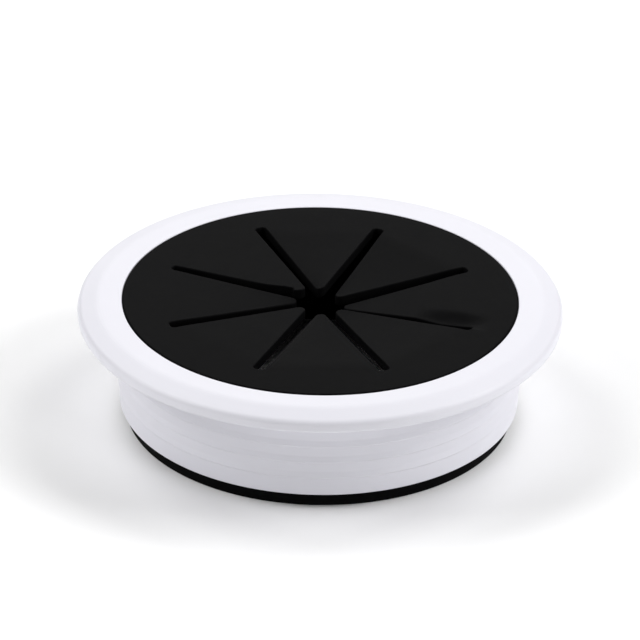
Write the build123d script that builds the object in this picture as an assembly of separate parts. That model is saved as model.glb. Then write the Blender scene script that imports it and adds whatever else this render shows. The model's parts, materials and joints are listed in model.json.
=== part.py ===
"""Round desk cable grommet: a flanged liner ring and a soft insert with eight slit flaps.

Millimetres, +Z up. The origin is on the barrel's axis at the underside of the flange, which is
the plane of the desk top: the flange stands above it and the barrel goes down into the desk hole.

The liner ring is a hard plastic moulding. Its flange is cored out underneath, and its top holds a
recess for the insert's rim. It is written as two nodes, parted where the barrel leaves the flange.

The insert is one soft rubber moulding: a slit disc whose rim sits in the recess, and a skirt that
lines the barrel. It is parted where the skirt leaves the disc. The disc's flaps bend at their
roots, so each flap is a node of its own too, with a round root edge on the line that it bends about.
"""

from build123d import *
import math
import os

# Desk hole and barrel
desk_hole_diameter = 80.0
barrel_hole_gap = 0.4  # radial, between the barrel's wall and the desk hole
barrel_wall = 1.2
barrel_length = 18.2  # below the flange's underside
barrel_edge_radius = 0.4

# Grip beads round the barrel
bead_height = 0.2
bead_width = 0.8
bead_pitch = 3.4
first_bead_depth = 4.0  # below the flange's underside

# Flange
flange_overhang = 7.7  # past the edge of the desk hole
flange_thickness = 3.5
flange_flat_width = 4.7  # level part of the top, outside the recess
flange_slope_drop = 1.1  # fall of the top from the level part to the outer corner
flange_slope_blend = 6.0  # radius between the level part and the slope
flange_outer_radius = 1.2  # rounding of the top's outer corner
flange_lower_radius = 0.8  # rounding of the outer corner that meets the desk
flange_wall = 1.8  # wall left around the cored-out groove
recess_edge_radius = 0.2

# Insert: the disc's rim and the skirt
seat_width = 0.6  # ledge in the liner that the insert's rim sits on
rim_gap = 0.1  # radial, between the insert's rim and the recess
rim_stands_proud = 0.1  # of the rim above the flange
rim_edge_radius = 0.35
skirt_gap = 0.3  # radial, between the skirt and the barrel's bore
skirt_wall = 1.8
skirt_projection = 3.0  # of the skirt below the barrel
lip_gap = 0.1  # radial, between the skirt's lip and the barrel's bore
lip_step = 0.15  # between the barrel's lower edge and the lip
lip_chamfer = 0.5

# Insert: slit disc
disc_thickness = 2.0
flap_count = 8
slot_width = 2.2
slot_corner_radius = 0.5
slot_to_rim = 7.25  # from the end of a slot to the rim's edge
flap_tip_radius = 1.1
flap_root_gap = 0.1  # between a flap's round root and the disc
flap_droop = 1.0  # how far a flap's tip hangs below the disc at rest

# Worked out from the sizes above
flange_radius = desk_hole_diameter / 2 + flange_overhang
barrel_radius = desk_hole_diameter / 2 - barrel_hole_gap
bore_radius = barrel_radius - barrel_wall
recess_radius = bore_radius + seat_width
seat_z = flange_thickness + rim_stands_proud - disc_thickness
rim_radius = recess_radius - rim_gap
rim_top = seat_z + disc_thickness
skirt_radius = bore_radius - skirt_gap
skirt_bore_radius = skirt_radius - skirt_wall
lip_radius = bore_radius - lip_gap
lip_top = -barrel_length - lip_step
skirt_foot = -barrel_length - skirt_projection

half_pitch = math.radians(180 / flap_count)
slot_end_radius = rim_radius - slot_to_rim
disc_opening_apothem = (slot_end_radius - slot_width / 2) * math.cos(half_pitch)
hinge_radius = disc_opening_apothem - flap_root_gap - disc_thickness / 2
hinge_z = rim_top - disc_thickness / 2
flap_apex = slot_width / 2 / math.sin(half_pitch)
flap_tip = flap_apex + flap_tip_radius / math.sin(half_pitch) - flap_tip_radius
flap_root_edge = hinge_radius + disc_thickness / 2
flap_root_half_width = flap_root_edge * math.tan(half_pitch) - slot_width / 2 / math.cos(half_pitch)
flap_droop_angle = math.degrees(math.asin(flap_droop / (hinge_radius - flap_tip)))


def bead_depths():
    """Depth of each grip bead below the flange, as many as the barrel has room for."""
    room = barrel_length - first_bead_depth - barrel_edge_radius - bead_width
    return [first_bead_depth + i * bead_pitch for i in range(int(room / bead_pitch) + 1)]


def liner_ring():
    """Flange, recess, barrel and grip beads, turned from one outline."""
    top_inner = (recess_radius, flange_thickness)
    slope_start = (recess_radius + flange_flat_width, flange_thickness)
    outer_corner = (flange_radius, flange_thickness - flange_slope_drop)
    lower_corner = (flange_radius, 0)
    with BuildSketch(Plane.XZ) as section:
        with BuildLine():
            Polyline(
                (bore_radius, -barrel_length),
                (bore_radius, seat_z),
                (recess_radius, seat_z),
                top_inner,
                slope_start,
                outer_corner,
                lower_corner,
                (barrel_radius, 0),
            )
            z = 0
            for depth in bead_depths():
                upper, lower = -depth + bead_width / 2, -depth - bead_width / 2
                Line((barrel_radius, z), (barrel_radius, upper))
                ThreePointArc(
                    (barrel_radius, upper),
                    (barrel_radius + bead_height, -depth),
                    (barrel_radius, lower),
                )
                z = lower
            Line((barrel_radius, z), (barrel_radius, -barrel_length))
            Line((barrel_radius, -barrel_length), (bore_radius, -barrel_length))
        make_face()
        roundings = [
            (top_inner, recess_edge_radius),
            (slope_start, flange_slope_blend),
            (outer_corner, flange_outer_radius),
            (lower_corner, flange_lower_radius),
            ((barrel_radius, -barrel_length), barrel_edge_radius),
        ]
        for corner, radius in roundings:
            fillet(corner_at(section, corner), radius)
        groove_inner = barrel_radius + flange_wall
        groove_outer = flange_radius - flange_wall
        groove_top = flange_thickness - flange_wall
        with Locations(((groove_inner + groove_outer) / 2, 0)):
            Rectangle(groove_outer - groove_inner, 2 * groove_top, mode=Mode.SUBTRACT)
    return revolve(section.sketch, Axis.Z)


def corner_at(section, point):
    """The corner of a section that lies at (radius, height); a sketch's own Y is the height."""
    return min(section.vertices(), key=lambda v: math.hypot(v.X - point[0], v.Y - point[1]))


def insert():
    """Skirt and disc, with an opening in the disc that has as many sides as there are flaps."""
    with BuildSketch(Plane.XZ) as section:
        with BuildLine():
            Polyline(
                (0, rim_top),
                (rim_radius, rim_top),
                (rim_radius, seat_z),
                (skirt_radius, seat_z),
                (skirt_radius, lip_top),
                (lip_radius, lip_top),
                (lip_radius, skirt_foot),
                (skirt_bore_radius, skirt_foot),
                (skirt_bore_radius, seat_z),
                (0, seat_z),
                close=True,
            )
        make_face()
        fillet(corner_at(section, (rim_radius, rim_top)), rim_edge_radius)
        chamfer(corner_at(section, (lip_radius, skirt_foot)), lip_chamfer)
    body = revolve(section.sketch, Axis.Z)
    with BuildSketch(Plane.XY.offset(seat_z)) as opening:
        RegularPolygon(disc_opening_apothem, flap_count, major_radius=False, rotation=180 / flap_count)
        with PolarLocations(0, flap_count, start_angle=180 / flap_count):
            with Locations((slot_end_radius / 2, 0)):
                RectangleRounded(slot_end_radius, slot_width, slot_corner_radius)
    return body - extrude(opening.sketch, disc_thickness)


def flap_at_x():
    """The flap that lies along +X, drooped at rest, with a round root edge on its bending line."""
    with BuildSketch(Plane.XY.offset(hinge_z)) as outline:
        with BuildLine():
            Polyline(
                (flap_apex, 0),
                (flap_root_edge, flap_root_half_width),
                (flap_root_edge, -flap_root_half_width),
                close=True,
            )
        make_face()
        fillet(outline.vertices().sort_by(Axis.X)[0], flap_tip_radius)
    with BuildSketch(Plane.XZ) as side:
        with Locations((hinge_radius / 2, hinge_z)):
            SlotCenterToCenter(hinge_radius, disc_thickness)
    wedge = extrude(outline.sketch, disc_thickness, both=True)
    round_edged_bar = extrude(side.sketch, flap_root_half_width, both=True)
    bending_line = Axis((hinge_radius, 0, hinge_z), (0, 1, 0))
    return (wedge & round_edged_bar).rotate(bending_line, -flap_droop_angle)


def write(name, shape):
    """Write one node, as a single named solid."""
    solid = shape.solids()[0]
    solid.label = name
    export_step(solid, f"parts/{name}.step")


def main():
    os.makedirs("parts", exist_ok=True)
    liner = liner_ring()
    write("liner_flange", split(liner, Plane.XY, keep=Keep.TOP))
    write("liner_barrel", split(liner, Plane.XY, keep=Keep.BOTTOM))
    soft = insert()
    write("insert_disc", split(soft, Plane.XY.offset(seat_z), keep=Keep.TOP))
    write("insert_skirt", split(soft, Plane.XY.offset(seat_z), keep=Keep.BOTTOM))
    flap = flap_at_x()
    for i in range(flap_count):
        write(f"flap_{i + 1}", flap.rotate(Axis.Z, 360 / flap_count * i))


main()
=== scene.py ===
import json
import math

import bmesh
import bpy
from bpy.props import FloatProperty, FloatVectorProperty, IntProperty, PointerProperty
from mathutils import Matrix, Vector, noise


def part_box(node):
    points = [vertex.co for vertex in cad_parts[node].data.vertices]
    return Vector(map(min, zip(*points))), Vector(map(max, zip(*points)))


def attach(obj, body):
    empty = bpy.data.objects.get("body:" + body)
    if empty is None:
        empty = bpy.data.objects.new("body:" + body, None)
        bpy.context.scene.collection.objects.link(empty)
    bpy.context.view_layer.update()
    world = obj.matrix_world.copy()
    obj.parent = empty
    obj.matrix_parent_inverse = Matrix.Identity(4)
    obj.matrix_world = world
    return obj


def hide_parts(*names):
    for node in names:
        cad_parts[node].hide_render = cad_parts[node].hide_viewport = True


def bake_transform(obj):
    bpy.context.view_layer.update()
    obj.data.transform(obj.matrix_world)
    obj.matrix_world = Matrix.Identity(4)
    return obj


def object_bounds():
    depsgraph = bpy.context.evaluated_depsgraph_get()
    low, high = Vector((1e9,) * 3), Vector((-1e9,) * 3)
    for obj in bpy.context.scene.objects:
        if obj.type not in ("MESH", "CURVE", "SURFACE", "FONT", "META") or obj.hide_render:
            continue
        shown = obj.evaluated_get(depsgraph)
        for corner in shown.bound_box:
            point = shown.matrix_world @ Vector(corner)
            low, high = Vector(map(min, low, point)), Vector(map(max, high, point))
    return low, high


# A round desk grommet: a hard liner ring, and a rubber insert slit into flaps that close round
# cables. Each piece is built round the CAD frame, which gives the sizes that must agree with it.

bl_info = {
    "name": "Desk Grommet",
    "version": (1, 0, 0),
    "blender": (4, 5, 0),
    "location": "View3D > Sidebar > Grommet",
    "description": "Builds a flanged desk grommet with a slit rubber insert round its CAD frame",
    "category": "Add Mesh",
}

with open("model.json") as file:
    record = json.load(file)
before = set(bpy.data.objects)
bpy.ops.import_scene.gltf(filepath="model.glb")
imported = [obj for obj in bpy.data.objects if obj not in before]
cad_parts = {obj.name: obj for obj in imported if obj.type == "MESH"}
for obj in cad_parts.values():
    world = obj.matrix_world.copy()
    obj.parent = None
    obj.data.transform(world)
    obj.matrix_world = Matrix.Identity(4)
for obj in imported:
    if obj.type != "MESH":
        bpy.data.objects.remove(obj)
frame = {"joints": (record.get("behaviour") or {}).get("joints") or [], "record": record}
CAD_BOX = [list(corner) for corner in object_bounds()]
MM = 0.001


# ---------------------------------------------------------------- sizes read from the frame


def reach(node):
    """Largest radius of a CAD node about the barrel's axis."""
    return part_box(node)[1][0]


def level(node, end):
    """Height of a CAD node's foot (end 0) or top (end 1)."""
    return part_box(node)[end][2]


BARREL = next(m for m in frame["record"]["mounts"] if m["name"] == "barrel")
BARREL_RADIUS = BARREL["dims"]["r_mm"] * MM
FLAP_JOINTS = [j for j in frame["joints"] if j["type"] == "hinge"]
FLAP_COUNT = len(FLAP_JOINTS)
HALF_PITCH = math.pi / FLAP_COUNT
HINGE_RADIUS = math.hypot(*FLAP_JOINTS[0]["pos_m"][:2])
DISC_TOP = level("insert_disc", 1)
DISC_UNDERSIDE = level("insert_disc", 0)
RIM_RADIUS = reach("insert_disc")

# ---------------------------------------------------------------- settings


def length(name, description, millimetres):
    """A size in the sidebar, with its default given in millimetres."""
    return FloatProperty(name=name, description=description, default=millimetres * MM, min=0, unit="LENGTH")


def colour(name, description, red, green, blue):
    """A colour in the sidebar."""
    rgba = (red, green, blue, 1)
    return FloatVectorProperty(
        name=name, description=description, default=rgba, size=4, min=0, max=1, subtype="COLOR"
    )


class GrommetRingSettings(bpy.types.PropertyGroup):
    """Sizes and colour of the liner ring that the CAD frame's outer sizes leave open."""

    segments: IntProperty(name="Segments", description="Steps round the turned ring", default=288, min=24)
    bore_gap: length("Bore gap", "Between the insert's lip and the barrel's bore", 0.1)
    rim_gap: length("Rim gap", "Between the insert's rim and the recess", 0.1)
    flat_width: length("Level width", "Level part of the flange's top", 4.7)
    slope_drop: length("Slope drop", "Fall of the flange's top to its outer corner", 1.1)
    slope_blend: length("Slope blend", "Radius between the level part and the slope", 6.0)
    outer_rounding: length("Outer rounding", "Radius of the flange's upper corner", 1.2)
    lower_rounding: length("Lower rounding", "Radius of the flange's lower corner", 0.8)
    core_wall: length("Core wall", "Wall left round the groove under the flange", 1.8)
    core_rounding: length("Core rounding", "Radius inside the groove under the flange", 0.5)
    edge_rounding: length("Edge rounding", "Radius of the small moulded edges", 0.2)
    foot_rounding: length("Foot rounding", "Radius of the barrel's lower edge", 0.4)
    bead_width: length("Bead width", "Length of the long upper slope of a grip bead", 1.2)
    bead_pitch: length("Bead pitch", "Distance between grip beads", 3.4)
    first_bead: length("First bead", "Depth of the first grip bead below the flange", 4.0)
    plastic: colour("Plastic", "Colour of the moulded plastic", 0.72, 0.715, 0.768)


class GrommetInsertSettings(bpy.types.PropertyGroup):
    """Sizes and colour of the rubber insert."""

    slot_width: length("Slot width", "Width of the slots between the flaps", 2.2)
    slot_corner: length("Slot corner", "Radius in the corners of a slot's end", 0.75)
    slot_to_rim: length("Slot to rim", "From a slot's end to the rim's edge", 7.25)
    tip_rounding: length("Tip rounding", "Radius of a flap's tip, seen from above", 1.1)
    cut_rounding: length("Cut rounding", "Radius along the edges of the slots", 0.22)
    rim_rounding: length("Rim rounding", "Radius of the rim's top edge", 0.35)
    bend_width: length("Bend width", "Width of the band that bends at a flap's root", 3.4)
    skirt_wall: length("Skirt wall", "Thickness of the skirt", 1.8)
    skirt_step: length("Skirt step", "How far the lip stands out from the skirt", 0.2)
    lip_step: length("Lip step", "From the barrel's foot to the skirt's lip", 0.15)
    root_rounding: length("Root rounding", "Radius under the disc, inside the skirt", 0.8)
    tight_slot: length("Tight slot", "How much narrower one slot has set than the others", 0.5)
    dent_depth: length("Dent depth", "Depth of the dent by the root of one flap", 0.85)
    nick_depth: length("Nick depth", "Depth of the nick in the edge of one flap", 1.0)
    rubber: colour("Rubber", "Colour of the moulded rubber", 0.0026, 0.0026, 0.0028)


class GrommetStageSettings(bpy.types.PropertyGroup):
    """The floor's colour and the camera."""

    floor: colour("Floor", "Colour of the floor", 0.95, 0.95, 0.95)
    distance: length("Distance", "From the camera to the middle of the disc", 825)
    elevation: FloatProperty(
        name="Elevation",
        description="Height of the camera above the horizon",
        default=math.radians(28.21),
        unit="ROTATION",
    )
    azimuth: FloatProperty(
        name="Azimuth",
        description="Turn of the camera round the barrel's axis",
        default=math.radians(-0.83),
        unit="ROTATION",
    )
    roll: FloatProperty(
        name="Roll",
        description="Turn of the camera about its line of sight",
        default=math.radians(0.9),
        unit="ROTATION",
    )
    lens: FloatProperty(name="Lens", description="Focal length", default=236.2, min=1, unit="CAMERA")
    aim_drop: length("Aim drop", "How far below the disc the camera aims", 5.2)


# ---------------------------------------------------------------- mesh tools

ARC_STEP = math.radians(9)
EDGE_STEPS = 5
FLAP_COLUMNS = 26
TOP_RINGS, UNDERSIDE_RINGS = 12, 6
HOLD = 0.12 * MM  # a row this far from a rounded edge keeps the flat beside it flat


def ramp(low, high, value):
    """0 below low, 1 above high and a smooth step between."""
    share = min(max((value - low) / (high - low), 0), 1)
    return share * share * (3 - 2 * share)


def turn(point, angle):
    """A point turned about Z."""
    return Matrix.Rotation(angle, 3, "Z") @ Vector(point)


def rounded(corners, closed):
    """Outline through corners of (radius, height, rounding), with an arc at each rounded corner."""
    count = len(corners)
    outline = []
    for i, (r, z, rounding) in enumerate(corners):
        corner = Vector((r, z))
        if rounding == 0 or (not closed and i in (0, count - 1)):
            outline.append(corner)
            continue
        before = (Vector(corners[i - 1][:2]) - corner).normalized()
        after = (Vector(corners[(i + 1) % count][:2]) - corner).normalized()
        half = before.angle(after) / 2
        centre = corner + (before + after).normalized() * rounding / math.sin(half)
        start = corner + before * rounding / math.tan(half) - centre
        sweep = math.copysign(math.pi - 2 * half, after.cross(before))
        steps = max(3, math.ceil(abs(sweep) / ARC_STEP))
        outline += [centre + Matrix.Rotation(sweep * k / steps, 2) @ start for k in range(steps + 1)]
    return outline


def held(outline, closed):
    """The outline with a point close to each end of every long straight run."""
    points = []
    for i, here in enumerate(outline):
        points.append(here)
        if not closed and i == len(outline) - 1:
            break
        run = outline[(i + 1) % len(outline)] - here
        if run.length > 4 * HOLD:
            step = run.normalized() * HOLD
            points += [here + step, here + run - step]
    return points


class Shell:
    """A piece's mesh as it is put together, row by row."""

    def __init__(self):
        self.points = []
        self.faces = []
        self.caps = []

    def row(self, points):
        """Adds a row of points and gives their numbers."""
        start = len(self.points)
        self.points += [tuple(p) for p in points]
        return list(range(start, len(self.points)))

    def bridge(self, one, other, closed=False):
        """Joins two rows of the same length by a strip of faces."""
        last = len(one) if closed else len(one) - 1
        for i in range(last):
            j = (i + 1) % len(one)
            self.faces.append((one[i], one[j], other[j], other[i]))

    def fan(self, tip, row):
        """Joins one point to a row."""
        for a, b in zip(row, row[1:]):
            self.faces.append((tip, a, b))

    def cap(self, loop):
        """Closes a loop with one face that meets its neighbours at a sharp edge."""
        self.caps.append(len(self.faces))
        self.faces.append(tuple(loop))

    def piece(self, name, material):
        """The finished object, smooth shaded, with its outer side outwards."""
        mesh = bpy.data.meshes.new(name)
        mesh.from_pydata(self.points, [], self.faces)
        mesh.polygons.foreach_set("use_smooth", [True] * len(mesh.polygons))
        edges = {tuple(sorted(e.vertices)): e for e in mesh.edges}
        for number in self.caps:
            for key in mesh.polygons[number].edge_keys:
                edges[tuple(sorted(key))].use_edge_sharp = True
        work = bmesh.new()
        work.from_mesh(mesh)
        bmesh.ops.recalc_face_normals(work, faces=work.faces)
        work.to_mesh(mesh)
        work.free()
        if mesh.validate():
            raise RuntimeError(f"{name} has faulty faces")
        place = mesh.attributes.new(REST_PLACE, "FLOAT_VECTOR", "POINT")
        place.data.foreach_set("vector", [x for v in mesh.vertices for x in v.co])
        mesh.materials.append(material)
        piece = bpy.data.objects.new(name, mesh)
        bpy.context.scene.collection.objects.link(piece)
        return piece


def turned(outline, segments):
    """The shell of a solid turned about Z from a closed outline."""
    shell = Shell()
    rings = []
    for k in range(segments):
        angle = 2 * math.pi * k / segments
        rings.append(shell.row([turn((p.x, 0, p.y), angle) for p in outline]))
    for one, other in zip(rings, rings[1:] + rings[:1]):
        shell.bridge(one, other, closed=True)
    return shell


# ---------------------------------------------------------------- shader tools

REST_PLACE = "rest_place"  # where each point lay when the piece was made


class Value:
    """A number in a shader, so that maths on it is written as an expression."""

    def __init__(self, graph, socket):
        self.graph = graph
        self.socket = socket

    def math(self, operation, first, second):
        node = self.graph.add("ShaderNodeMath", {"operation": operation}, {0: first, 1: second})
        return Value(self.graph, node.outputs[0])

    def __add__(self, other):
        return self.math("ADD", self, other)

    def __radd__(self, other):
        return self.math("ADD", other, self)

    def __sub__(self, other):
        return self.math("SUBTRACT", self, other)

    def __rsub__(self, other):
        return self.math("SUBTRACT", other, self)

    def __mul__(self, other):
        return self.math("MULTIPLY", self, other)

    def __rmul__(self, other):
        return self.math("MULTIPLY", other, self)

    def __truediv__(self, other):
        return self.math("DIVIDE", self, other)

    def __rtruediv__(self, other):
        return self.math("DIVIDE", other, self)

    def limited(self):
        """The value kept between 0 and 1."""
        return self.math("MAXIMUM", self.math("MINIMUM", self, 1), 0)

    def between(self, low, high):
        """0 at low, 1 at high, and kept between them outside that."""
        return ((self - low) / (high - low)).limited()


class Graph:
    """The nodes of one material."""

    def __init__(self, name):
        self.material = bpy.data.materials.new(name)
        self.material.use_nodes = True
        self.tree = self.material.node_tree
        self.tree.nodes.clear()

    def add(self, kind, settings=None, sockets=None):
        """A node with its settings made first, and then its sockets set or linked."""
        node = self.tree.nodes.new(kind)
        for key, setting in (settings or {}).items():
            setattr(node, key, setting)
        for key, value in (sockets or {}).items():
            value = value.socket if isinstance(value, Value) else value
            if isinstance(value, bpy.types.NodeSocket):
                self.tree.links.new(value, node.inputs[key])
            else:
                node.inputs[key].default_value = value
        return node

    def place(self):
        """Each point's place in the piece as it was made."""
        return self.add("ShaderNodeAttribute", {"attribute_name": REST_PLACE}).outputs["Vector"]

    def noise(self, place, size, detail=2.0, roughness=0.5):
        """Soft noise whose lumps are about the given size across."""
        sockets = {"Vector": place, "Scale": 1 / size, "Detail": detail, "Roughness": roughness}
        return Value(self, self.add("ShaderNodeTexNoise", {}, sockets).outputs["Fac"])

    def mix(self, share, first, second):
        """A colour mixed from two, by a share of the second."""
        sockets = {0: share, 6: first, 7: second}
        return self.add("ShaderNodeMix", {"data_type": "RGBA"}, sockets).outputs[2]

    def bump(self, height, distance, strength, normal=None):
        """A normal that follows a height; distance is how far a height of 1 stands up."""
        sockets = {"Height": height, "Distance": distance, "Strength": strength}
        if normal is not None:
            sockets["Normal"] = normal
        return self.add("ShaderNodeBump", {}, sockets).outputs["Normal"]

    def surface(self, sockets):
        """The shader and the output, which finish the material."""
        shader = self.add("ShaderNodeBsdfPrincipled", {}, sockets)
        self.add("ShaderNodeOutputMaterial", {}, {"Surface": shader.outputs["BSDF"]})
        return self.material


def scaled(rgba, factor):
    """A colour made lighter or darker."""
    return (*[min(channel * factor, 1) for channel in rgba[:3]], 1)


def moulded_plastic(rgba):
    """Satin white moulding: a fine even grain, a slight waviness and a faint unevenness of tone."""
    graph = Graph("moulded_plastic")
    place = graph.place()
    cloud = graph.noise(place, 18 * MM, detail=3)
    grain = graph.noise(place, 0.22 * MM, detail=3, roughness=0.6)
    wave = graph.noise(place, 6 * MM, detail=1)
    tone = graph.mix(cloud.between(0.35, 0.7), rgba, scaled(rgba, 0.985))
    waved = graph.bump(wave, 0.03 * MM, 0.5)
    return graph.surface(
        {
            "Base Color": tone,
            "Roughness": 0.36 + 0.1 * cloud + 0.05 * grain,
            "Specular IOR Level": 0.45,
            "Normal": graph.bump(grain, 0.006 * MM, 0.6, waved),
        }
    )


def moulded_rubber(rgba):
    """Matte black rubber: fine grain, faint mottling, and a bloom that pales it in patches."""
    graph = Graph("moulded_rubber")
    place = graph.place()
    mottle = graph.noise(place, 5 * MM, detail=4, roughness=0.55)
    bloom = graph.noise(place, 1.6 * MM, detail=3, roughness=0.7)
    grain = graph.noise(place, 0.16 * MM, detail=3, roughness=0.65)
    patches = (0.65 * mottle + 0.35 * bloom).between(0.35, 0.66)
    tone = graph.mix(patches, scaled(rgba, 0.8), scaled(rgba, 1.25))
    lumps = graph.bump(bloom, 0.02 * MM, 0.5)
    return graph.surface(
        {
            "Base Color": tone,
            "Roughness": 0.46 + 0.12 * mottle + 0.06 * grain,
            "Specular IOR Level": 0.02,
            "Normal": graph.bump(grain, 0.014 * MM, 0.7, lumps),
        }
    )


def matte(name, rgba):
    """A plain matte finish for the floor."""
    return Graph(name).surface({"Base Color": rgba, "Roughness": 0.9, "Specular IOR Level": 0.1})


# ---------------------------------------------------------------- liner ring


def bead_corners(ring, depth):
    """Corners of one grip bead: a long upper slope, the crest and a short step back to the wall."""
    crest = reach("liner_barrel")
    step = ring.bead_width / 4
    return [
        (BARREL_RADIUS, -depth + ring.bead_width, ring.bead_width),
        (crest, -depth, step / 2),
        (BARREL_RADIUS, -depth - step, step / 2),
    ]


def liner_outline(ring):
    """Corners of the liner ring's section, from the barrel's foot up the bore and back down outside."""
    foot = level("liner_barrel", 0)
    top = level("liner_flange", 1)
    outer = reach("liner_flange")
    bore = reach("insert_skirt") + ring.bore_gap
    recess = RIM_RADIUS + ring.rim_gap
    core_inner, core_outer = BARREL_RADIUS + ring.core_wall, outer - ring.core_wall
    core_top = top - ring.core_wall
    edge = ring.edge_rounding
    corners = [
        (bore, foot, ring.foot_rounding),
        (bore, DISC_UNDERSIDE, 0),
        (recess, DISC_UNDERSIDE, 0),
        (recess, top, edge),
        (recess + ring.flat_width, top, ring.slope_blend),
        (outer, top - ring.slope_drop, ring.outer_rounding),
        (outer, 0, ring.lower_rounding),
        (core_outer, 0, edge),
        (core_outer, core_top, ring.core_rounding),
        (core_inner, core_top, ring.core_rounding),
        (core_inner, 0, edge),
        (BARREL_RADIUS, 0, edge),
    ]
    depth = ring.first_bead
    while depth < -foot - ring.bead_width:
        corners += bead_corners(ring, depth)
        depth += ring.bead_pitch
    return corners + [(BARREL_RADIUS, foot, ring.foot_rounding)]


class GROMMET_OT_liner(bpy.types.Operator):
    """Build the hard liner ring: flange, recess, barrel and grip beads"""

    bl_idname = "grommet.liner"
    bl_label = "Liner Ring"

    def execute(self, context):
        ring = context.scene.grommet_ring
        outline = held(rounded(liner_outline(ring), closed=True), closed=True)
        shell = turned(outline, ring.segments)
        piece = shell.piece("liner_ring", moulded_plastic(ring.plastic))
        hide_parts("liner_flange", "liner_barrel")
        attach(piece, "liner")
        return {"FINISHED"}


# ---------------------------------------------------------------- rubber insert

# How each flap hangs: the drop of its tip in millimetres, and how much lower its left side is.
FLAP_HANG = [
    (2.3, 0.0),
    (1.65, 0.1),
    (0.65, 0.25),
    (0.1, 0.0),
    (0.95, 0.15),
    (0.7, 0.0),
    (1.3, -0.1),
    (1.25, -0.1),
]
DROOP_CURVE = 0.85  # below 1, a flap drops sooner near its root than further out
NICKED_FLAP = 4  # the slot on its left is the tight one
TIGHT_FROM, TIGHT_FULL = 4.6 * MM, 6 * MM  # where the tight slot narrows, from the axis
NICK_START, NICK_DEEPEST, NICK_END = 5.7 * MM, 6.6 * MM, 12 * MM  # along the flap, from the axis
NICK_RAGGED, NICK_GRAIN = 0.3, 0.7 * MM  # how uneven the nick is, and over what length
DENTED_SLOT = -1  # counted round from the slot that follows the first flap
DENT_START, DENT_FULL = -13 * MM, -6 * MM  # along the slot, from its end
DENT_EASE, DENT_END = -3 * MM, 3.5 * MM
DENT_SHOULDER, DENT_WIDTH = 0.7 * MM, 4.3 * MM  # across, from the slot's edge


def cut_line(insert):
    """Distance from the axis of the line where a flap leaves the whole part of the disc."""
    return HINGE_RADIUS + insert.bend_width / 2


def half_width(insert, x, inset):
    """Half the width of a flap at a distance from the axis, with its edges moved in by inset."""
    return x * math.tan(HALF_PITCH) - (insert.slot_width / 2 + inset) / math.cos(HALF_PITCH)


def spread(insert, number, x):
    """How far a flap's left edge stands out into a tight slot."""
    if number != NICKED_FLAP:
        return 0
    return insert.tight_slot / math.cos(HALF_PITCH) * ramp(TIGHT_FROM, TIGHT_FULL, x)


def dent(insert, x, y):
    """Drop of the rubber by the dented slot, on the side of the flap that follows it."""
    along, across, _ = turn((x, y, 0), -HALF_PITCH * (2 * DENTED_SLOT + 1))
    end, edge = insert_slot_end(insert), insert.slot_width / 2
    start = ramp(end + DENT_START, end + DENT_FULL, along)
    finish = 1 - ramp(end + DENT_EASE, end + DENT_END, along)
    near = ramp(-0.6 * edge, 0.9 * edge, across)
    far = 1 - ramp(edge + DENT_SHOULDER, edge + DENT_WIDTH, across)
    return insert.dent_depth * start * finish * near * far


def insert_slot_end(insert):
    """Distance from the axis of a slot's end."""
    return RIM_RADIUS - insert.slot_to_rim


def droop(insert, number, x, y):
    """Drop of a flap's rubber from the disc's plane at a point of the flap that lies along +X."""
    tip_drop, twist = FLAP_HANG[number - 1]
    beyond = max(cut_line(insert) - x, 0)
    band = insert.bend_width
    bent = beyond * beyond / (2 * band) if beyond < band else beyond - band / 2
    blade = HINGE_RADIUS - 2 * insert.slot_width
    share = bent / blade
    side = y / max(half_width(insert, x, 0), insert.slot_width / 2)
    return (tip_drop + twist * side) * share**DROOP_CURVE * MM


def nick(insert, number, x):
    """How far a nick cuts into the left edge of a flap, with a steep end and a long one."""
    if number != NICKED_FLAP:
        return 0
    steep = ramp(NICK_START, NICK_DEEPEST, x)
    long = 1 - ramp(NICK_DEEPEST, NICK_END, x)
    rough = 1 + NICK_RAGGED * noise.noise(Vector((x / NICK_GRAIN, 0, 0)))
    return insert.nick_depth * steep * long * rough


def edge_profile(rounding):
    """(inset, height) pairs down the cut edge of the disc, from its top face to its underside."""
    turns = [math.pi / 2 * k / EDGE_STEPS for k in range(EDGE_STEPS + 1)]
    upper = [(rounding * (1 - math.sin(a)), DISC_TOP - rounding * (1 - math.cos(a))) for a in turns]
    lower = [(rounding * (1 - math.cos(a)), DISC_UNDERSIDE + rounding * (1 - math.sin(a))) for a in turns]
    return upper + lower


def flap_side(insert, inset):
    """Points (x, y) along a flap's left edge, from its tip to the cut line."""
    slot_half = insert.slot_width / 2
    centre = (slot_half + insert.tip_rounding) / math.sin(HALF_PITCH)
    radius = insert.tip_rounding - inset
    tip_steps = 8
    sweep = math.pi / 2 - HALF_PITCH
    side = []
    for k in range(tip_steps + 1):
        angle = math.pi - sweep * k / tip_steps
        side.append((centre + radius * math.cos(angle), radius * math.sin(angle)))
    start, end = side[-1][0], cut_line(insert)
    blade_rows, bend_rows = 44, 18
    bend = end - insert.bend_width
    stations = [start + (bend - start) * k / blade_rows for k in range(1, blade_rows)]
    stations += [bend + insert.bend_width * k / bend_rows for k in range(bend_rows + 1)]
    return side + [(x, half_width(insert, x, inset)) for x in stations]


def across(left, right, columns):
    """Points from left to right, with one held close to each end."""
    width = left - right
    hold = min(HOLD, width / 8)
    inner = [left - hold - (width - 2 * hold) * k / (columns - 2) for k in range(columns - 1)]
    return [left, *inner, right]


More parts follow.
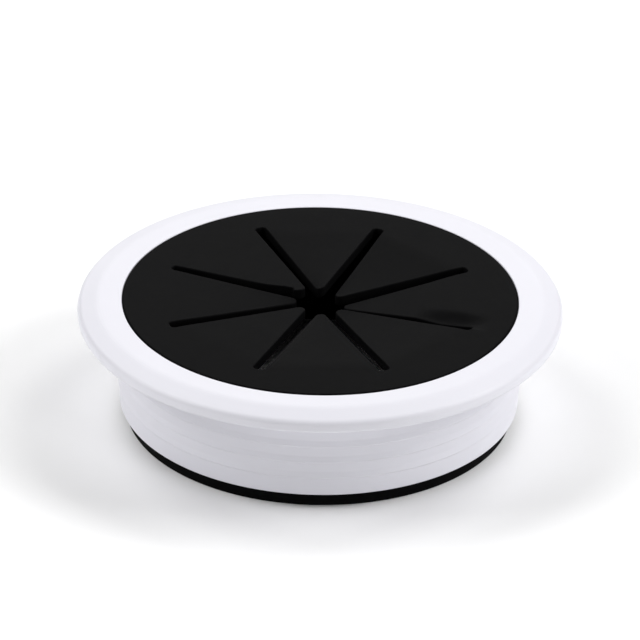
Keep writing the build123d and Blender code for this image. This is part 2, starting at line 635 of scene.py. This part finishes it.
def flap_shell(insert, number):
    """A flap as a closed shell that ends at the cut line."""
    shell = Shell()
    angle = 2 * HALF_PITCH * (number - 1)

    def put(x, y, z):
        world = turn((x, y, 0), angle)
        drop = droop(insert, number, x, y) + dent(insert, world.x, world.y)
        return world.x, world.y, z - drop

    def left(x, y):
        return y + spread(insert, number, x) - nick(insert, number, x)

    def face(inset, z):
        side = flap_side(insert, inset)
        rows = [shell.row([put(*side[0], z)])]
        for x, y in side[1:]:
            rows.append(shell.row([put(x, w, z) for w in across(left(x, y), -y, FLAP_COLUMNS)]))
        shell.fan(rows[0][0], rows[1])
        for one, other in zip(rows[1:], rows[2:]):
            shell.bridge(one, other)
        return rows

    def outline(rows):
        return [row[0] for row in reversed(rows)] + [row[-1] for row in rows[1:]]

    profile = edge_profile(insert.cut_rounding)
    top, bottom = face(*profile[0]), face(*profile[-1])
    strips = [outline(top)]
    for inset, z in profile[1:-1]:
        side = flap_side(insert, inset)
        there = [put(x, left(x, y), z) for x, y in reversed(side[1:])]
        back = [put(x, -y, z) for x, y in side]
        strips.append(shell.row(there + back))
    strips.append(outline(bottom))
    for one, other in zip(strips, strips[1:]):
        shell.bridge(one, other)
    right_end = [strip[-1] for strip in strips[1:-1]]
    left_end = [strip[0] for strip in strips[1:-1]]
    shell.cap(top[-1] + right_end + bottom[-1][::-1] + left_end[::-1])
    return shell


def half_notch(insert, slot_half, cut, inset):
    """Points (along, across) from the middle of a slot's end round to the cut line."""
    corner = min(insert.slot_corner, slot_half)
    end = insert_slot_end(insert)
    start = (cut - (slot_half + inset) * math.sin(HALF_PITCH)) / math.cos(HALF_PITCH)
    corner_steps, end_steps = 5, 3
    points = []
    for k in range(end_steps):
        points.append((end + inset, (slot_half - corner) * k / end_steps))
    for k in range(corner_steps + 1):
        a = math.pi / 2 * k / corner_steps
        reach_out = corner + inset
        points.append((end - corner + reach_out * math.cos(a), slot_half - corner + reach_out * math.sin(a)))
    return [*points, (start, slot_half + inset)]


def notch(insert, flap, cut, inset):
    """Points (along, across) round the end of the slot on a flap's left, from cut line to cut line."""
    half = insert.slot_width / 2
    tight = insert.tight_slot if flap == NICKED_FLAP else 0
    right = half_notch(insert, half - tight, cut, inset)
    left = half_notch(insert, half, cut, inset)
    return [(along, -side) for along, side in reversed(right)] + left[1:]


def disc_opening(insert, inset, shift):
    """Points round the opening that the flaps fill, as (notch, line) pairs, one for each slot."""
    cut = cut_line(insert) + shift
    reach_out = half_width(insert, cut, inset)
    pairs = []
    for k in range(FLAP_COUNT):
        slot_angle = HALF_PITCH * (2 * k + 1)
        round_slot = [turn((*p, 0), slot_angle) for p in notch(insert, k + 1, cut, inset)]
        width = 2 * reach_out + spread(insert, (k + 1) % FLAP_COUNT + 1, cut)
        sides = [width * i / FLAP_COLUMNS - reach_out for i in range(1, FLAP_COLUMNS)]
        across_flap = [turn((cut, y, 0), slot_angle + HALF_PITCH) for y in sides]
        pairs.append((round_slot, across_flap))
    return pairs


def rim_and_skirt(insert):
    """Outline of the insert outside its disc's flats, from the top face round to the underside."""
    lip = reach("insert_skirt")
    foot = level("insert_skirt", 0)
    lip_top = level("liner_barrel", 0) - insert.lip_step
    skirt = lip - insert.skirt_step
    inner = skirt - insert.skirt_wall
    small = insert.cut_rounding / 2
    corners = [
        (RIM_RADIUS - 3 * insert.rim_rounding, DISC_TOP, 0),
        (RIM_RADIUS, DISC_TOP, insert.rim_rounding),
        (RIM_RADIUS, DISC_UNDERSIDE, small),
        (skirt, DISC_UNDERSIDE, small),
        (skirt, lip_top, small / 2),
        (lip, lip_top, small / 2),
        (lip, foot, insert.rim_rounding),
        (inner, foot, insert.rim_rounding),
        (inner, DISC_UNDERSIDE, insert.root_rounding),
        (inner - 3 * insert.root_rounding, DISC_UNDERSIDE, 0),
    ]
    return held(rounded(corners, closed=False), closed=False)


def body_shell(insert):
    """The insert without its flaps, as a closed shell."""
    shell = Shell()
    profile = edge_profile(insert.cut_rounding)
    notch_size = len(notch(insert, 1, cut_line(insert), 0))

    def even_angle(i, count):
        """Angle of a point of the circle, in step with the opening's points."""
        per_slot = count // FLAP_COUNT
        middle = (notch_size - 1) / 2
        return HALF_PITCH + 2 * HALF_PITCH * (i - middle) / per_slot

    def lowered(point, z):
        return point.x, point.y, z - dent(insert, point.x, point.y)

    def loop(inset, shift, z):
        points = [p for pair in disc_opening(insert, inset, shift) for part in pair for p in part]
        return [lowered(p, z) for p in points]

    def flat(inset, z, edge_radius, rings):
        """Rows from the opening out to a circle; the last point of each row is on that circle."""
        first = shell.row(loop(inset, 0, z))
        near = loop(inset + HOLD, HOLD, z)
        rows = [first]
        for k in range(rings):
            share = k / rings
            points = []
            for i, (x, y, _) in enumerate(near):
                angle = even_angle(i, len(near))
                circle = Vector((edge_radius * math.cos(angle), edge_radius * math.sin(angle), 0))
                points.append(lowered(Vector((x, y, 0)).lerp(circle, share), z))
            rows.append(shell.row(points))
        for one, other in zip(rows, rows[1:]):
            shell.bridge(one, other, closed=True)
        return rows

    outline = rim_and_skirt(insert)
    top = flat(*profile[0], outline[0].x, TOP_RINGS)
    bottom = flat(*profile[-1], outline[-1].x, UNDERSIDE_RINGS)
    count = len(top[0])
    rings = []
    for p in outline:
        angles = [even_angle(i, count) for i in range(count)]
        rings.append(shell.row([(p.x * math.cos(a), p.x * math.sin(a), p.y) for a in angles]))
    for one, other in zip([top[-1], *rings], [*rings, bottom[-1]]):
        shell.bridge(one, other, closed=True)

    walls = [top[0]]
    for inset, z in profile[1:-1]:
        row = [None] * count
        start = 0
        for round_slot, across_flap in disc_opening(insert, inset, 0):
            row[start : start + notch_size] = shell.row([lowered(p, z) for p in round_slot])
            start += notch_size + len(across_flap)
        walls.append(row)
    walls.append(bottom[0])
    per_slot = count // FLAP_COUNT
    for k in range(FLAP_COUNT):
        first, last = k * per_slot, k * per_slot + notch_size
        for one, other in zip(walls, walls[1:]):
            shell.bridge(one[first:last], other[first:last])
        after = [(last - 1 + i) % count for i in range(per_slot - notch_size + 2)]
        here = [wall[last - 1] for wall in walls[1:-1]]
        there = [wall[after[-1]] for wall in walls[1:-1]]
        shell.cap([top[0][i] for i in after] + there + [bottom[0][i] for i in after[::-1]] + here[::-1])
    return shell


def rubber(context):
    """The insert's rubber, made once and shared by its pieces."""
    made = bpy.data.materials.get("moulded_rubber")
    return made or moulded_rubber(context.scene.grommet_insert.rubber)


class GROMMET_OT_insert_body(bpy.types.Operator):
    """Build the insert's rim, skirt and the whole part of its disc"""

    bl_idname = "grommet.insert_body"
    bl_label = "Insert Body"

    def execute(self, context):
        piece = body_shell(context.scene.grommet_insert).piece("insert_body", rubber(context))
        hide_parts("insert_disc", "insert_skirt")
        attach(piece, "insert")
        return {"FINISHED"}


class GROMMET_OT_flaps(bpy.types.Operator):
    """Build the insert's flaps, each bending at its root"""

    bl_idname = "grommet.flaps"
    bl_label = "Flaps"

    def execute(self, context):
        insert = context.scene.grommet_insert
        for number in range(1, FLAP_COUNT + 1):
            node = f"flap_{number}"
            piece = flap_shell(insert, number).piece(f"rubber_{node}", rubber(context))
            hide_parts(node)
            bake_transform(piece)
        return {"FINISHED"}


# ---------------------------------------------------------------- stage


FLOOR_HALF_WIDTH = 4.0
WORLD_STRENGTH = 0.07
# Soft lights: name, place and size in metres, and power in watts
LIGHTS = [
    ("key_left", (-0.6, 0.45, 1.05), 0.5, 4),
    ("key_right", (0.6, 0.45, 1.05), 0.5, 4.5),
    ("side_left", (-1.05, -0.05, 0.8), 0.6, 8.5),
    ("side_right", (1.05, -0.05, 0.8), 0.6, 10),
    ("back", (0, 1.7, 0.8), 1.2, 8),
    ("low_left", (-1.1, -1.0, 0.35), 0.35, 2.2),
    ("low_right", (1.1, -1.0, 0.35), 0.35, 4.2),
]


def soft_light(name, place, size, power):
    """A square area light that points at the origin."""
    lamp = bpy.data.lights.new(name, "AREA")
    lamp.shape = "SQUARE"
    lamp.size = size
    lamp.energy = power
    light = bpy.data.objects.new(name, lamp)
    light.location = place
    light.rotation_euler = (-Vector(place)).to_track_quat("-Z", "Y").to_euler()
    bpy.context.scene.collection.objects.link(light)


class GROMMET_OT_stage(bpy.types.Operator):
    """Build the floor, the soft light and the camera"""

    bl_idname = "grommet.stage"
    bl_label = "Stage"

    def execute(self, context):
        stage = context.scene.grommet_stage
        self.make_floor(stage)
        self.make_light(context.scene)
        self.make_camera(context.scene, stage)
        return {"FINISHED"}

    def make_floor(self, stage):
        shell = Shell()
        half, foot = FLOOR_HALF_WIDTH, CAD_BOX[0][2]
        near = shell.row([(-half, -half, foot), (half, -half, foot)])
        far = shell.row([(-half, half, foot), (half, half, foot)])
        shell.bridge(near, far)
        floor = shell.piece("floor", matte("floor", stage.floor))

    def make_light(self, scene):
        world = bpy.data.worlds.new("studio")
        scene.world = world
        world.use_nodes = True
        background = world.node_tree.nodes["Background"]
        background.inputs["Color"].default_value = (1, 1, 1, 1)
        background.inputs["Strength"].default_value = WORLD_STRENGTH
        for light in LIGHTS:
            soft_light(*light)
        scene.view_settings.view_transform = "Standard"

    def make_camera(self, scene, stage):
        camera = bpy.data.objects.new("camera", bpy.data.cameras.new("camera"))
        camera.data.lens = stage.lens
        camera.data.sensor_width = 36
        camera.data.clip_start = 0.01
        flat = math.cos(stage.elevation)
        back = Vector((0, -flat, math.sin(stage.elevation)))
        back = turn(back, stage.azimuth)
        eye = Vector((0, 0, DISC_TOP)) + back * stage.distance
        aim = Vector((0, 0, DISC_TOP - stage.aim_drop)) - eye
        camera.rotation_mode = "QUATERNION"
        camera.location = eye
        roll = Matrix.Rotation(stage.roll, 3, "Z").to_quaternion()
        camera.rotation_quaternion = aim.to_track_quat("-Z", "Y") @ roll
        scene.collection.objects.link(camera)
        scene.camera = camera


# ---------------------------------------------------------------- panel and registration


class GROMMET_PT_panel(bpy.types.Panel):
    """The grommet's pieces and settings"""

    bl_idname = "GROMMET_PT_panel"
    bl_label = "Desk Grommet"
    bl_space_type = "VIEW_3D"
    bl_region_type = "UI"
    bl_category = "Grommet"

    def draw(self, context):
        for operator in PIECES:
            self.layout.operator(operator.bl_idname)
        for name, settings in SETTINGS.items():
            group = getattr(context.scene, name)
            for key in settings.__annotations__:
                self.layout.prop(group, key)


SETTINGS = {
    "grommet_ring": GrommetRingSettings,
    "grommet_insert": GrommetInsertSettings,
    "grommet_stage": GrommetStageSettings,
}
PIECES = [GROMMET_OT_liner, GROMMET_OT_insert_body, GROMMET_OT_flaps, GROMMET_OT_stage]


def register():
    for cls in (*SETTINGS.values(), *PIECES, GROMMET_PT_panel):
        bpy.utils.register_class(cls)
    for name, settings in SETTINGS.items():
        setattr(bpy.types.Scene, name, PointerProperty(type=settings))


def unregister():
    for name in SETTINGS:
        delattr(bpy.types.Scene, name)
    for cls in (GROMMET_PT_panel, *reversed(PIECES), *reversed(SETTINGS.values())):
        bpy.utils.unregister_class(cls)


def main():
    register()
    bpy.ops.grommet.liner()
    bpy.ops.grommet.insert_body()
    bpy.ops.grommet.flaps()
    bpy.ops.grommet.stage()


if __name__ == "__main__":
    main()
